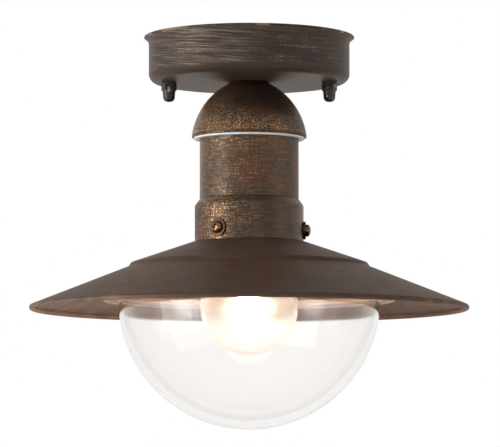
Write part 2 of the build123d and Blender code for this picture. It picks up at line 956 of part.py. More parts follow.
def bulb_capsule():
    end = capsule_top - capsule_length

    def vessel(radius, high, low, end_round):
        return polygon((0, high), (radius, high), (radius, low), (0, low), rounds=[0, 0, end_round, 0])

    outer = vessel(capsule_radius, capsule_top, end, capsule_end_round)
    inner = vessel(
        capsule_radius - capsule_wall,
        capsule_top - capsule_wall,
        end + capsule_wall,
        capsule_end_round - capsule_wall,
    )
    half, deep = pinch_width / 2, pinch_depth / 2
    return spun(outer - inner) + block(-half, half, -deep, deep, capsule_top, pinch_top)


def bulb_filament():
    ceiling = capsule_top - capsule_wall
    top = ceiling - (capsule_length - 2 * capsule_wall - filament_length) / 2
    coil = rod(filament_radius, top - filament_length, top)
    for x in (-filament_radius / 2, filament_radius / 2):
        coil += rod(filament_leg_radius, top, ceiling, x)
    return coil


def pole_places():
    first = -(block_poles - 1) / 2
    return [(first + index) * block_pole_pitch for index in range(block_poles)]


def terminal_block():
    low, high = canopy_floor, canopy_floor + block_height
    body = block(
        -block_length / 2,
        block_length / 2,
        block_y - block_depth / 2,
        block_y + block_depth / 2,
        low,
        high,
    )
    body = fillet(body.edges().filter_by(Axis.Z), block_corner)
    level = pole_level
    for x in pole_places():
        channel = Cylinder(barrel_diameter / 2 + skin_gap, block_depth)
        body -= Pos(x, block_y, level) * Rot(90) * channel
        for side in (-1, 1):
            well = block_screw_diameter / 2 + hole_play
            body -= rod(well, level, high, x, block_y + side * block_screw_offset)
    stud = weld_stud_diameter / 2 + hole_play
    body -= rod(stud, low, high, block_pole_pitch / 2, block_y)
    base = weld_stud_base_diameter / 2 + hole_play
    return body - rod(base, low, low + weld_stud_base + hole_play, block_pole_pitch / 2, block_y)


def terminal_barrels():
    length = block_depth - 2 * barrel_inset
    hole = block_screw_diameter / 2 + thread_play
    barrels = []
    for x in pole_places():
        tube = Cylinder(barrel_diameter / 2, length) - Cylinder(barrel_bore / 2, length)
        barrel = Pos(x, block_y, pole_level) * Rot(90) * tube
        for side in (-1, 1):
            y = block_y + side * block_screw_offset
            barrel -= rod(hole, pole_level, pole_level + barrel_diameter, x, y)
        barrels.append(barrel)
    return barrels


def terminal_block_screws():
    low = pole_level + wire_radius + skin_gap
    high = low + block_screw_height
    screws = []
    for x in pole_places():
        for side in (-1, 1):
            y = block_y + side * block_screw_offset
            screw = rod(block_screw_diameter / 2, low, high, x, y)
            slot = Pos(x, y, high) * Box(block_screw_diameter, block_screw_slot, block_screw_slot * 2)
            screws.append(screw - slot)
    return screws


def weld_stud_places():
    """Foot of each weld stud, with the height of what its nut holds down."""
    return [(block_pole_pitch / 2, block_y, block_height), (earth_x, earth_y, weld_stud_base + lug_sheet)]


def weld_studs():
    studs = []
    for x, y, held in weld_stud_places():
        top = canopy_floor + held + weld_nut_height + weld_stud_over_nut
        base = rod(weld_stud_base_diameter / 2, canopy_floor, canopy_floor + weld_stud_base, x, y)
        studs.append(base + rod(weld_stud_diameter / 2, canopy_floor, top, x, y))
    return studs


def weld_stud_nuts():
    bore = weld_stud_diameter / 2 + thread_play
    nuts = []
    for x, y, held in weld_stud_places():
        low = canopy_floor + held
        nuts.append(hex_nut(weld_nut_flats, bore, low, low + weld_nut_height, x, y))
    return nuts


def earth_lug():
    """A ring tongue on the earth stud, with its crimp barrel pointing to the terminal block."""
    low = canopy_floor + weld_stud_base
    tongue = extrude(Circle(lug_radius), lug_sheet)
    tongue += Pos(0, lug_length / 4, lug_sheet / 2) * Box(lug_radius, lug_length / 2, lug_sheet)
    tongue -= rod(weld_stud_diameter / 2 + turn_play, 0, lug_sheet)
    axis_height = lug_barrel_diameter / 2
    barrel = Cylinder(lug_barrel_diameter / 2, lug_length / 2)
    bore = Cylinder(wire_radius + skin_gap, lug_length)
    barrel = Pos(0, lug_length * 3 / 4, axis_height) * Rot(90) * barrel
    lug = tongue + (barrel - Pos(0, lug_length, axis_height) * Rot(90) * bore)
    return Pos(earth_x, earth_y, low) * Rot(0, 0, lug_turn) * lug


def wire_tube(points):
    """A wire along runs joined by arcs, each as large as its two runs allow."""
    corners = [Vector(*point) for point in points]
    runs = [b - a for a, b in zip(corners, corners[1:])]
    radii = []
    for before, after in zip(runs, runs[1:]):
        half = radians(before.get_angle(after)) / 2
        radii.append(wire_bend_share * min(before.length, after.length) / tan(half))
    route = FilletPolyline(*corners, radius=radii)
    tube = sweep(Plane(route @ 0, z_dir=route % 0) * Circle(wire_radius), path=route)
    share = round(tube.volume / (pi * wire_radius**2 * route.length), 4)
    print("wire length", round(route.length, 1), "least bend", round(min(radii), 1), "volume", share)
    return tube


def supply_wire(side):
    """From a pole of the terminal block over and down the nipple to a lampholder terminal."""
    pole = pole_places()[0 if side < 0 else 1]
    entry = block_y - block_depth / 2 + wire_tuck
    level = pole_level
    drop = insert_top + terminal_height - wire_tuck
    bend = terminal_offset - wire_offset
    x = side * wire_offset
    return wire_tube([
        (pole, entry, level),
        (pole, 17.1, level + 1.3),
        ((pole + x) / 2, 11.5, level + 6.8),
        (x, 4.6, level + 7.6),
        (x, 0, level + 2.8),
        (x, 0, drop + bend + 5.4),
        (side * terminal_offset, 0, drop + 5.4),
        (side * terminal_offset, 0, drop),
    ])


def earth_wire():
    """From the third pole of the terminal block to the lug on the earth stud."""
    pole = pole_places()[-1]
    low = canopy_floor + weld_stud_base + lug_barrel_diameter / 2
    aside, along = sin(radians(lug_turn)), cos(radians(lug_turn))

    def from_stud(reach):
        return earth_x - reach * aside, earth_y + reach * along, low

    return wire_tube([
        from_stud(lug_length - wire_tuck),
        from_stud(lug_length + wire_tuck),
        (pole, 19.0, pole_level - 1.0),
        (pole, block_y - block_depth / 2 + wire_tuck, pole_level),
    ])


upper_washer_top = canopy_floor + nipple_washer_height

pieces = {
    "ceiling_bracket": ceiling_bracket(),
    "bracket_studs": bracket_studs(),
    "stud_lock_nuts": stud_lock_nuts(),
    "canopy": canopy(),
    "cap_washer_left": cap_washer(-1),
    "cap_washer_right": cap_washer(1),
    "cap_nut_left": cap_nut(-1),
    "cap_nut_right": cap_nut(1),
    "bell_cap": bell_cap(),
    "neck_seal": neck_seal(),
    "neck": neck(),
    "nipple": nipple(),
    "nipple_upper_washer": nipple_washer(upper_washer_top),
    "nipple_upper_nut": nipple_nut(upper_washer_top + nipple_nut_height),
    "nipple_lower_washer": nipple_washer(neck_under_top),
    "nipple_lower_nut": nipple_nut(neck_under_top - nipple_washer_height),
    "spacer_sleeve": spacer_sleeve(),
    "clamp_nuts": clamp_nuts(),
    "shade": shade(),
    "shade_collar": shade_collar(),
    "glass_carrier": glass_carrier(),
    "glass_gasket": glass_gasket(),
    "glass_bowl": glass_bowl(),
    "glass_clips": glass_clips(),
    "glass_clip_screws": clip_screws(),
    "glass_clip_nuts": clip_nuts(),
    "lampholder_cap": holder_cap(),
    "lampholder_sleeve": holder_sleeve(),
    "lampholder_insert": holder_insert(),
    "lampholder_shell": holder_shell(),
    "lampholder_contact": holder_contact(),
    "lampholder_terminals": holder_terminals(),
    "lampholder_terminal_screws": holder_terminal_screws(),
    "bulb_tip": bulb_tip_contact(),
    "bulb_insulator": bulb_insulator(),
    "bulb_cap": bulb_cap(),
    "bulb_envelope": bulb_envelope(),
    "bulb_stem": bulb_stem(),
    "bulb_leads": bulb_leads(),
    "bulb_capsule": bulb_capsule(),
    "bulb_filament": bulb_filament(),
    "terminal_block": terminal_block(),
    "terminal_barrels": terminal_barrels(),
    "terminal_block_screws": terminal_block_screws(),
    "weld_studs": weld_studs(),
    "weld_stud_nuts": weld_stud_nuts(),
    "earth_lug": earth_lug(),
    "live_wire": supply_wire(-1),
    "neutral_wire": supply_wire(1),
    "earth_wire": earth_wire(),
}
for name, azimuth in zip(clamp_names, clamp_azimuths()):
    pieces["clamp_washer_" + name] = clamp_washer(azimuth)
    pieces["clamp_screw_" + name] = clamp_screw(azimuth)

os.makedirs("parts", exist_ok=True)
for node, shape in pieces.items():
    solid = Compound(children=shape) if isinstance(shape, list) else shape
    export_step(solid, "parts/" + node + ".step")
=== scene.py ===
import json
import math

import bmesh
import bpy
from mathutils import Matrix, Vector


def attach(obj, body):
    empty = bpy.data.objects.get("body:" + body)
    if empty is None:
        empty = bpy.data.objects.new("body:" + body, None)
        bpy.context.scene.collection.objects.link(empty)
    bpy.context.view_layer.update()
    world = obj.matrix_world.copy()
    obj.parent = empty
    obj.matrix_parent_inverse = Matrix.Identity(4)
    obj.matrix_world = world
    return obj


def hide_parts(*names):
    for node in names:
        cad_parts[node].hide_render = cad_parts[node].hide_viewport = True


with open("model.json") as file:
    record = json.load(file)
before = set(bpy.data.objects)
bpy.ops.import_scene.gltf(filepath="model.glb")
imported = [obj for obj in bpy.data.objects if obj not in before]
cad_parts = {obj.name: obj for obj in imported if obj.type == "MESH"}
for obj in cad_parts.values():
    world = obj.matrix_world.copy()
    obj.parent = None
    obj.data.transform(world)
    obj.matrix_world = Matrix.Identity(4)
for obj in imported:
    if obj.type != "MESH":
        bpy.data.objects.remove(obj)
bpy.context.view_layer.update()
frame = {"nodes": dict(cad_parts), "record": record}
nodes = frame["nodes"]
SLOTS = {part["node"]: part["material_slot"] for part in frame["record"]["subparts"]}
BODIES = {node: body for body, held in frame["record"]["behaviour"]["bodies"].items() for node in held}
MM = 0.001

# Camera, worked out from the photograph: long lens, a little below the lamp and tilted up
CAMERA_PLACE = (0.5 * MM, -2.0546, -0.2883)
CAMERA_TILT = math.radians(4.814)
SENSOR_WIDTH = 36.0
LENS = 241.2

# Studio, in metres and watts
FLOOR_LEVEL = -0.9
FLOOR_SIZE = 6.0
FLOOR_WHITENESS = 0.8
SKY_LIGHT = 0.3
LAMP_AIM = (0.0, 0.0, -0.12)
WHITE = (1.0, 1.0, 1.0)
WARM = (1.0, 0.95, 0.89)
SOFTBOXES = (
    ("left_softbox", (-1.1, -0.49, -0.22), 0.95, 0.9, 14.2, WHITE),
    ("right_softbox", (1.4, -0.5, -0.3), 0.9, 1.0, 3.7, WARM),
)
# Each softbox is three sheets of light, one inside the other, so that its edge fades:
# how large each sheet is, and its share of the power
SOFTBOX_SHEETS = ((0.7, 0.5), (1.0, 0.3), (1.3, 0.2))
# How far out from its middle a glint stays at full strength, as a share of its radius
GLINT_CORE = 0.15

# Threads: pitch and depth of groove, in millimetres
M3 = (0.5, 0.3)
M4 = (0.7, 0.42)
M10 = (1.0, 0.6)
E27 = (3.62, 0.85)

# Fineness of the meshes. A bowl's arcs start just beside its axis, at an angle in degrees
ROWS_PER_TURN = 8
SIDES = 36
SHARP_EDGE = math.radians(32)
BOWL_ROWS = 112
BOWL_SIDES = 320
RIM_ROWS = 6
POLE = -89.8

# Thickness of the wires, in millimetres
WIRE_THICK = 1.9
COIL_THICK = 0.26

# How much the shade's brim falls for each step out
BRIM_SLOPE = math.tan(math.radians(21.6))


class Tap:
    """An output socket of a shader tree. Arithmetic on taps adds Math nodes."""

    def __init__(self, tree, socket):
        self.tree = tree
        self.socket = socket

    def add(self, kind, settings=None, sockets=None, out=0):
        """A new node: its settings first, then the values or links of its sockets."""
        made = self.tree.nodes.new(kind)
        for name, value in (settings or {}).items():
            setattr(made, name, value)
        for name, value in (sockets or {}).items():
            if isinstance(value, Tap):
                self.tree.links.new(value.socket, made.inputs[name])
            else:
                made.inputs[name].default_value = value
        return Tap(self.tree, made.outputs[out])

    def math(self, operation, *values):
        return self.add("ShaderNodeMath", {"operation": operation}, dict(enumerate(values)))

    def __add__(self, other):
        return self.math("ADD", self, other)

    def __radd__(self, other):
        return self.math("ADD", other, self)

    def __sub__(self, other):
        return self.math("SUBTRACT", self, other)

    def __rsub__(self, other):
        return self.math("SUBTRACT", other, self)

    def __mul__(self, other):
        return self.math("MULTIPLY", self, other)

    def __rmul__(self, other):
        return self.math("MULTIPLY", other, self)

    def larger(self, other):
        """The larger of two values, which is either of two masks."""
        return self.math("MAXIMUM", self, other)

    def stretch(self, x, y, z):
        """A vector scaled along each axis."""
        return self.add("ShaderNodeVectorMath", {"operation": "MULTIPLY"}, {0: self, 1: (x, y, z)})

    def shift(self, x, y, z):
        """A vector moved along each axis."""
        return self.add("ShaderNodeVectorMath", {"operation": "ADD"}, {0: self, 1: (x, y, z)})

    def turn(self, x, y, z):
        """A vector turned about each axis, in radians."""
        return self.add("ShaderNodeMapping", {}, {"Vector": self, "Rotation": (x, y, z)})

    def height(self):
        """The height of this place, in metres."""
        return self.add("ShaderNodeSeparateXYZ", {}, {0: self}, out=2)

    def side(self):
        """How far to the right this place is, in metres."""
        return self.add("ShaderNodeSeparateXYZ", {}, {0: self}, out=0)

    def off_axis(self):
        """How far this place is from the upright axis, in metres."""
        flat = self.stretch(1.0, 1.0, 0.0)
        return self.add("ShaderNodeVectorMath", {"operation": "LENGTH"}, {0: flat}, out=1)

    def noise(self, scale, detail=3.0, roughness=0.55):
        """Cloudy values about 0.5 at this place, with scale per metre."""
        sockets = {"Vector": self, "Scale": scale, "Detail": detail, "Roughness": roughness}
        return self.add("ShaderNodeTexNoise", {}, sockets)

    def between(self, low, high):
        """The value as a soft 0 to 1 step from low to high."""
        settings = {"interpolation_type": "SMOOTHSTEP"}
        return self.add("ShaderNodeMapRange", settings, {"Value": self, "From Min": low, "From Max": high})

    def blend(self, first, second):
        """One colour where the value is 0 and another where it is 1."""
        settings = {"data_type": "RGBA", "clamp_factor": True}
        return self.add("ShaderNodeMix", settings, {0: self, 6: first, 7: second}, out=2)

    def mix(self, first, second):
        """One shader where the value is 0 and another where it is 1."""
        return self.add("ShaderNodeMixShader", {}, {0: self, 1: first, 2: second})

    def feed(self, shader, socket):
        self.tree.links.new(self.socket, shader.inputs[socket])

    def bump(self, shader, strength, distance):
        """The value as height, in metres, under a shader's normal."""
        sockets = {"Height": self, "Strength": strength, "Distance": distance}
        self.add("ShaderNodeBump", {}, sockets).feed(shader, "Normal")


def ray(tree, kind):
    """Which kind of ray arrives, or how often it has been mirrored."""
    return Tap(tree, tree.nodes.new("ShaderNodeLightPath").outputs[kind])


def color(red, green, blue):
    """A colour as it reads on a screen, 0 to 255, turned into linear light."""
    def linear(value):
        share = value / 255
        return share / 12.92 if share <= 0.04045 else ((share + 0.055) / 1.055) ** 2.4

    return linear(red), linear(green), linear(blue), 1.0


WARM_SHEEN = color(238, 212, 190)


def finish(name, **fixed):
    """A material with its Principled shader and the place on the piece, in metres."""
    made = bpy.data.materials.new(name)
    made.use_nodes = True
    tree = made.node_tree
    shader = tree.nodes["Principled BSDF"]
    for socket, value in fixed.items():
        shader.inputs[socket.replace("_", " ")].default_value = value
    place = Tap(tree, tree.nodes.new("ShaderNodeTexCoord").outputs["Object"])
    return made, shader, place


def rust_brushed():
    """Grey-brown canopy paint, dry-brushed with pale gold on the wall and worn along the lip, with a
    painted highlight on the left-middle of the wall.
    """
    made, shader, place = finish("rust_brushed", Specular_IOR_Level=0.15, Specular_Tint=WARM_SHEEN)
    wall_grey, wall_brown = color(59, 54, 52), color(65, 52, 45)
    under_grey, under_brown = color(62, 52, 45), color(69, 53, 44)
    # The pale dusty tone is the dry-brushing, and on the left-middle also a painted highlight
    dust_and_highlight, pale_gold = color(126, 112, 102), color(208, 174, 128)
    wall = place.height().between(-0.0265, -0.0225)
    lip = place.height().between(-0.002, -0.0004)
    # Left-middle of the wall: heavier brushing plus a painted highlight, paler and with more gold
    brushing_and_highlight = place.side().between(-0.075, -0.03) * place.side().between(0.012, -0.014)
    clouds = place.noise(15.0, 3.0).between(0.36, 0.64)
    brush = place.turn(-0.13, -0.05, 0.0).stretch(42.0, 42.0, 1300.0)
    strokes = wall * brush.noise(1.0, 4.0, 0.65)
    speckle = place.stretch(0.75, 0.75, 1.0).noise(1050.0, 3.0, 0.75)
    touched = place.shift(0.31, 0.12, 0.0).noise(24.0, 2.0).between(0.38, 0.6)
    patches = (0.4 + 0.6 * brushing_and_highlight) * (0.3 + 0.7 * touched)
    wear = lip * place.noise(60.0, 3.0).between(0.54, 0.62)
    gold = strokes.between(0.5, 0.68) * patches * speckle.between(0.48, 0.64)
    gold = gold.larger(wear * 0.6 * speckle.between(0.3, 0.55))
    base = wall.blend(clouds.blend(under_grey, under_brown), clouds.blend(wall_grey, wall_brown))
    # Paler brush strokes, many more of them on the left-middle as a painted highlight
    wiped_and_highlit = (strokes.between(0.4, 0.64) * (0.14 + 0.6 * brushing_and_highlight)).blend(base, dust_and_highlight)
    gold.blend(wiped_and_highlit, pale_gold).feed(shader, "Base Color")
    (0.15 + 0.4 * gold).feed(shader, "Metallic")
    (0.47 - 0.05 * wall + 0.12 * strokes - 0.1 * gold).feed(shader, "Roughness")
    (strokes * 0.5 + speckle * 0.5).bump(shader, 0.25, 0.00012)
    return made


def rust_stippled():
    """Dark brown bell and neck paint: golden stipple on the bell, wiped in a fine weave below, with painted
    highlight on the left and painted shade in places.
    """
    made, shader, place = finish("rust_stippled", Specular_IOR_Level=0.42, Specular_Tint=WARM_SHEEN)
    umber, red_brown, hatching = color(52, 42, 35), color(78, 48, 32), color(108, 87, 70)
    # The near-black tone is painted shade in the neck's crease and under the bell's hem
    gilt, painted_shade_tone = color(216, 167, 118), color(26, 21, 18)
    bell = place.height().between(-0.0636, -0.0624)
    lower_bell = place.height().between(-0.03, -0.054)
    # Gold along the bell's lip: wear, plus a painted glint along the edge
    lip = place.height().between(-0.0586, -0.0598) * place.noise(45.0, 2.0).between(0.4, 0.6)
    # The bell's hem, darkened as painted shade under its rolled edge
    hem = place.height().between(-0.0598, -0.061) * bell
    skirt = place.height().between(-0.1, -0.105)
    # The crease at the neck's shoulder, darkened as painted shade
    crease = place.height().between(-0.0994, -0.1003) * place.height().between(-0.1013, -0.1005)
    foot = place.height().between(-0.121, -0.1262) * place.noise(50.0, 2.0).between(0.42, 0.6)
    # Left of the neck, skirt and bell, where the softbox lights them: extra gold here is a painted
    # highlight
    left = place.side().between(0.012, -0.012) * place.side().between(-0.035, -0.02)
    # Far left of the skirt, and right of the neck and bell: less hatching there is painted shade, and the
    # paint is rougher
    shaded_skirt_edge = place.side().between(-0.024, -0.031) * skirt
    shaded_sides = shaded_skirt_edge + place.side().between(0.02, 0.028) * (1.0 - skirt)
    clouds = place.noise(26.0, 3.0)
    red = place.shift(0.2, 0.1, 0.0).noise(36.0, 2.0).between(0.46, 0.66)
    grains = place.noise(1350.0, 2.0, 0.75)
    across = place.stretch(120.0, 120.0, 1500.0).noise(1.0, 3.0, 0.65)
    down = place.stretch(1500.0, 1500.0, 170.0).noise(1.0, 3.0, 0.65)
    weave = across.between(0.38, 0.66) * 0.65 + down.between(0.4, 0.66) * 0.35
    dots = grains.between(0.5, 0.66) * clouds.between(0.32, 0.62)
    # Lip gold: partly wear, partly a painted glint
    lip_wear_and_glint = 0.6 * lip * (1.0 - hem) * grains.between(0.4, 0.6)
    # Stipple on the bell, a little heavier on the left as a painted highlight
    stippled = bell * ((0.85 + 0.3 * left) * dots * lower_bell + lip_wear_and_glint)
    # Gold wiped into the weave, much heavier on the left as a painted highlight
    wiped_and_highlit = (0.22 + (0.9 + 0.7 * skirt) * left) * dots * weave.between(0.15, 0.6)
    gold = stippled + (1.0 - bell) * (wiped_and_highlit + 0.3 * foot * grains.between(0.4, 0.62))
    base = red.blend(umber, red_brown)
    # Hatching over the base: less on the bell, and less on the sides as painted shade
    hatched = (weave * (0.62 - 0.4 * bell - 0.2 * shaded_sides)).blend(base, hatching)
    painted = gold.blend(hatched, gilt)
    # Painted shade darkens the crease and the bell's hem
    (crease * 0.7 + hem * 0.65).blend(painted, painted_shade_tone).feed(shader, "Base Color")
    (0.15 + 0.45 * gold).feed(shader, "Metallic")
    (0.36 - 0.08 * gold + 0.14 * shaded_sides).feed(shader, "Roughness")
    (grains * 0.5 + weave * 0.35).bump(shader, 0.4, 0.0002)
    return made


def rust_matte():
    """Smooth matte brown shade paint with faint clouds, a powder grain and a rubbed rim.

    The left of the brim's inside is painted paler, as painted light from the lower left.
    """
    made, shader, place = finish("rust_matte", Metallic=0.15, Specular_IOR_Level=0.12,
                                 Specular_Tint=WARM_SHEEN)
    umber, russet, powdered = color(66, 56, 50), color(86, 60, 47), color(96, 79, 68)
    # The pale brown is painted light on the left of the brim's inside
    painted_light_brown, bare_rim = color(134, 112, 99), color(160, 122, 88)
    rim = place.off_axis().between(0.1325, 0.1347) * place.noise(70.0, 3.0).between(0.52, 0.7)
    inside = (place.height() + BRIM_SLOPE * place.off_axis()).between(-0.1131, -0.1136)
    left = place.side().between(0.0, -0.1)
    clouds = place.noise(11.0, 3.0)
    grain = place.noise(1300.0, 2.0)
    brushed = place.stretch(1.0, 1.0, 3.0).noise(70.0, 4.0, 0.65).between(0.35, 0.7)
    base = clouds.between(0.34, 0.66).blend(umber, russet)
    tone = (0.55 * grain.between(0.3, 0.75) + 0.45 * brushed).blend(base, powdered)
    # Painted light: the left of the brim's inside is paler
    tone = (inside * left * (0.25 + 0.45 * brushed)).blend(tone, painted_light_brown)
    (rim * 0.5 * grain.between(0.35, 0.6)).blend(tone, bare_rim).feed(shader, "Base Color")
    (0.5 + 0.12 * grain).feed(shader, "Roughness")
    grain.bump(shader, 0.25, 0.0001)
    return made


def plain_metal(name, dark, bright, roughness, scale, metallic=1.0, worn=None):
    """Bare or browned metal with a fine grain, drifting tone and perhaps worn spots."""
    made, shader, place = finish(name, Metallic=metallic)
    drift = place.noise(scale * 0.12, 3.0)
    grain = place.noise(scale, 3.0)
    tone = (drift * 0.6 + grain * 0.4).between(0.35, 0.65)
    surface = tone.blend(color(*dark), color(*bright))
    if worn:
        spots = place.noise(scale * 0.45, 2.0).between(0.64, 0.7)
        surface = spots.blend(surface, color(*worn))
    surface.feed(shader, "Base Color")
    (roughness - 0.08 + 0.16 * grain).feed(shader, "Roughness")
    grain.bump(shader, 0.15, 0.00008)
    return made


def plain_solid(name, tint, shade, roughness, scale, baked=None, **fixed):
    """Rubber, plastic or porcelain with a faint mottle, perhaps browned by the bulb's heat."""
    made, shader, place = finish(name, **fixed)
    mottle = place.noise(scale, 3.0)
    surface = mottle.between(0.3, 0.7).blend(color(*tint), color(*shade))
    if baked:
        near_bulb = place.height().between(-0.12, -0.15) * place.off_axis().between(0.0895, 0.087)
        surface = near_bulb.blend(surface, color(*baked))
    surface.feed(shader, "Base Color")
    (roughness - 0.05 + 0.1 * mottle).feed(shader, "Roughness")
    mottle.bump(shader, 0.1, 0.0001)
    return made


def clear_glass(name, tint, wave, bending, haze=0.0, frost=0.0, ground=None, **fixed):
    """Clear glass whose faces wander a little, perhaps ground beyond a radius in metres.

    Light on its way to other pieces goes straight through.
    """
    made, shader, place = finish(name, Transmission_Weight=1.0, IOR=bending, **fixed)
    tree = made.node_tree
    ground_tone, bloom_tone = color(176, 142, 124), (1.0, 0.96, 0.92, 1.0)
    shader.inputs["Base Color"].default_value = tint
    rough = frost + 0.01 * place.noise(60.0, 2.0).between(0.5, 0.8)
    if ground:
        rim = place.off_axis().between(ground, ground + 0.0006)
        rim.blend(tint, ground_tone).feed(shader, "Base Color")
        rough = rough + 0.6 * rim
    rough.feed(shader, "Roughness")
    place.noise(18.0, 1.0).bump(shader, wave, 0.002)
    body = Tap(tree, shader.outputs[0])
    if haze:
        bloom = place.add("ShaderNodeBsdfTranslucent", {}, {"Color": bloom_tone})
        body = place.add("ShaderNodeMixShader", {}, {0: haze, 1: body, 2: bloom})
    through = place.add("ShaderNodeBsdfTransparent", {}, {"Color": tint})
    passing = ray(tree, "Is Shadow Ray").larger(ray(tree, "Is Diffuse Ray"))
    passing.mix(body, through).feed(tree.nodes["Material Output"], "Surface")
    return made


# Dark and bright tone, roughness and grains per metre, then metallic and the tone of worn spots
METALS = {
    "dark_bronze": ((34, 29, 27), (54, 46, 41), 0.3, 700.0, 0.4, (176, 146, 112)),
    "old_brass": ((70, 50, 38), (158, 120, 90), 0.2, 900.0),
    "bronze_washer": ((50, 39, 31), (84, 64, 48), 0.42, 900.0),
    "zinc_steel": ((158, 160, 162), (206, 206, 202), 0.34, 600.0),
    "hot_filament": ((255, 226, 170), (255, 240, 210), 0.4, 900.0),
    "bulb_wire": ((140, 138, 134), (190, 188, 182), 0.3, 900.0),
    "bulb_metal": ((186, 186, 184), (220, 219, 215), 0.3, 900.0),
    "contact_brass": ((176, 140, 74), (216, 182, 108), 0.32, 800.0),
}
# Two tones, roughness and mottle per metre, then the tone where the bulb's heat browned it
SOLIDS = {
    "black_rubber": ((30, 29, 28), (40, 38, 37), 0.7, 500.0),
    "white_rubber": ((250, 250, 249), (240, 240, 238), 0.5, 400.0, (128, 96, 80)),
    "black_glass": ((18, 18, 20), (28, 28, 31), 0.15, 300.0),
    "white_plastic": ((232, 231, 226), (222, 220, 214), 0.45, 400.0),
    "brown_insulation": ((88, 52, 32), (76, 44, 27), 0.4, 500.0),
    "blue_insulation": ((38, 84, 158), (32, 72, 138), 0.4, 500.0),
    "green_insulation": ((78, 142, 44), (196, 190, 40), 0.4, 300.0),
}
FINISHES = {
    "rust_brushed": rust_brushed(),
    "rust_stippled": rust_stippled(),
    "rust_matte": rust_matte(),
    "porcelain": plain_solid("porcelain", (236, 232, 222), (226, 221, 210), 0.22, 200.0, Coat_Weight=0.4),
    "clear_glass": clear_glass("clear_glass", (0.995, 0.984, 0.976, 1.0), 0.001, 1.5, haze=0.004,
                               frost=0.05, ground=0.0806),
    "bulb_glass": clear_glass("bulb_glass", (0.992, 0.978, 0.964, 1.0), 0.02, 1.45, haze=0.008, frost=0.15),
    "quartz": clear_glass("quartz", (1.0, 0.97, 0.9, 1.0), 0.02, 1.45, Emission_Strength=42.0,
                          Emission_Color=color(255, 238, 214)),
}
FINISHES.update((name, plain_metal(name, *recipe)) for name, recipe in METALS.items())
FINISHES.update((name, plain_solid(name, *recipe)) for name, recipe in SOLIDS.items())


def dress_nodes():
    """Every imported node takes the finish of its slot."""
    for node, slot in SLOTS.items():
        mesh = nodes[node].data
        mesh.materials.clear()
        mesh.materials.append(FINISHES[slot])


def stand_in(node, piece):
    """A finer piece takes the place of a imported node, on its body and in its finish."""
    slot = SLOTS[node]
    piece.data.materials.append(FINISHES[slot])
    bpy.context.scene.collection.objects.link(piece)
    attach(piece, BODIES[node])
    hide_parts(node)
    return piece


def thread(radius, kind, low, high, fade=0.5):
    """Rows of a screw thread: crest radius, height and depth, fading out at both ends."""
    pitch, depth = kind
    count = round((high - low) / pitch * ROWS_PER_TURN)
    rows = []
    for index in range(count + 1):
        level = low + (high - low) * index / count
        share = min(1.0, (level - low) / pitch / fade, (high - level) / pitch / fade)
        rows.append((radius - depth * (1 - share), level, depth * share))
    return rows


def plain(*corners):
    """Rows with no thread, from radius and height."""
    return [(radius, level, 0.0) for radius, level in corners]


def turned(shape, rows, pitch=1.0, place=Matrix(), tube=False, sides=SIDES):
    """Adds a turned solid to a mesh, with its thread cut round it as a right-hand helix."""
    rings = []
    for radius, level, depth in rows:
        ring = []
        for side in range(sides):
            angle = 2 * math.pi * side / sides
            groove = depth * (0.5 - 0.5 * math.cos(2 * math.pi * (level / pitch - side / sides)))
            reach = radius - groove
            spot = Vector((reach * math.cos(angle), reach * math.sin(angle), level))
            ring.append(shape.verts.new(place @ spot * MM))
        rings.append(ring)
    for first, second in zip(rings, rings[1:] + rings[:1] * tube):
        for side in range(sides):
            after = (side + 1) % sides
            shape.faces.new((first[side], first[after], second[after], second[side]))
    if not tube:
        shape.faces.new(reversed(rings[0]))
        shape.faces.new(rings[-1])


def meshed(name, shape):
    """A finished mesh with round faces smooth and edges sharp."""
    bmesh.ops.recalc_face_normals(shape, faces=shape.faces)
    mesh = bpy.data.meshes.new(name)
    shape.to_mesh(mesh)
    shape.free()
    mesh.shade_smooth()
    mesh.set_sharp_from_angle(angle=SHARP_EDGE)
    return mesh


def shaped_piece(node, name, shape):
    """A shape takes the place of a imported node."""
    return stand_in(node, bpy.data.objects.new(name, meshed(name, shape)))


def threaded_piece(node, name, rows, kind, places=((0, 0, 0),), tube=False):
    """Turned and threaded solids, one at each place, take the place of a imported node."""
    shape = bmesh.new()
    for place in places:
        turned(shape, rows, kind[0], Matrix.Translation(place), tube)
    shaped_piece(node, name, shape)


def bracket_studs():
    """Studs threaded up to the collar that sits on the bracket."""
    low, collar, top, apart = -37.0, -3.5, -1.2, 49.5
    rows = plain((1.5, low)) + thread(2.0, M4, low + 0.3, collar - 0.3)
    rows += plain((1.6, collar), (3.5, collar), (3.5, top - 0.4), (3.1, top))
    threaded_piece("bracket_studs", "threaded_studs", rows, M4, ((-apart, 0, 0), (apart, 0, 0)))


def weld_studs():
    """Two threaded studs on flat feet, for the terminal block and the earth lug."""
    foot, flat = -26.8, 0.8
    shape = bmesh.new()
    for x, y, top in ((5.0, 34.0, -10.4), (29.0, -3.0, -21.8)):
        rows = plain((2.5, foot), (2.5, foot + flat), (1.2, foot + flat))
        rows += thread(1.5, M3, foot + 1.0, top - 0.2) + plain((1.1, top))
        turned(shape, rows, M3[0], Matrix.Translation((x, y, 0)))
    shaped_piece("weld_studs", "threaded_weld_studs", shape)


def nipple():
    """Hollow stem, threaded from end to end."""
    low, top, root, bore = -64.0, -20.5, 4.4, 3.5
    rows = plain((root, low)) + thread(5.0, M10, low + 0.3, top - 0.3)
    rows += plain((root, top), (bore, top), (bore, low))
    threaded_piece("nipple", "threaded_nipple", rows, M10, tube=True)


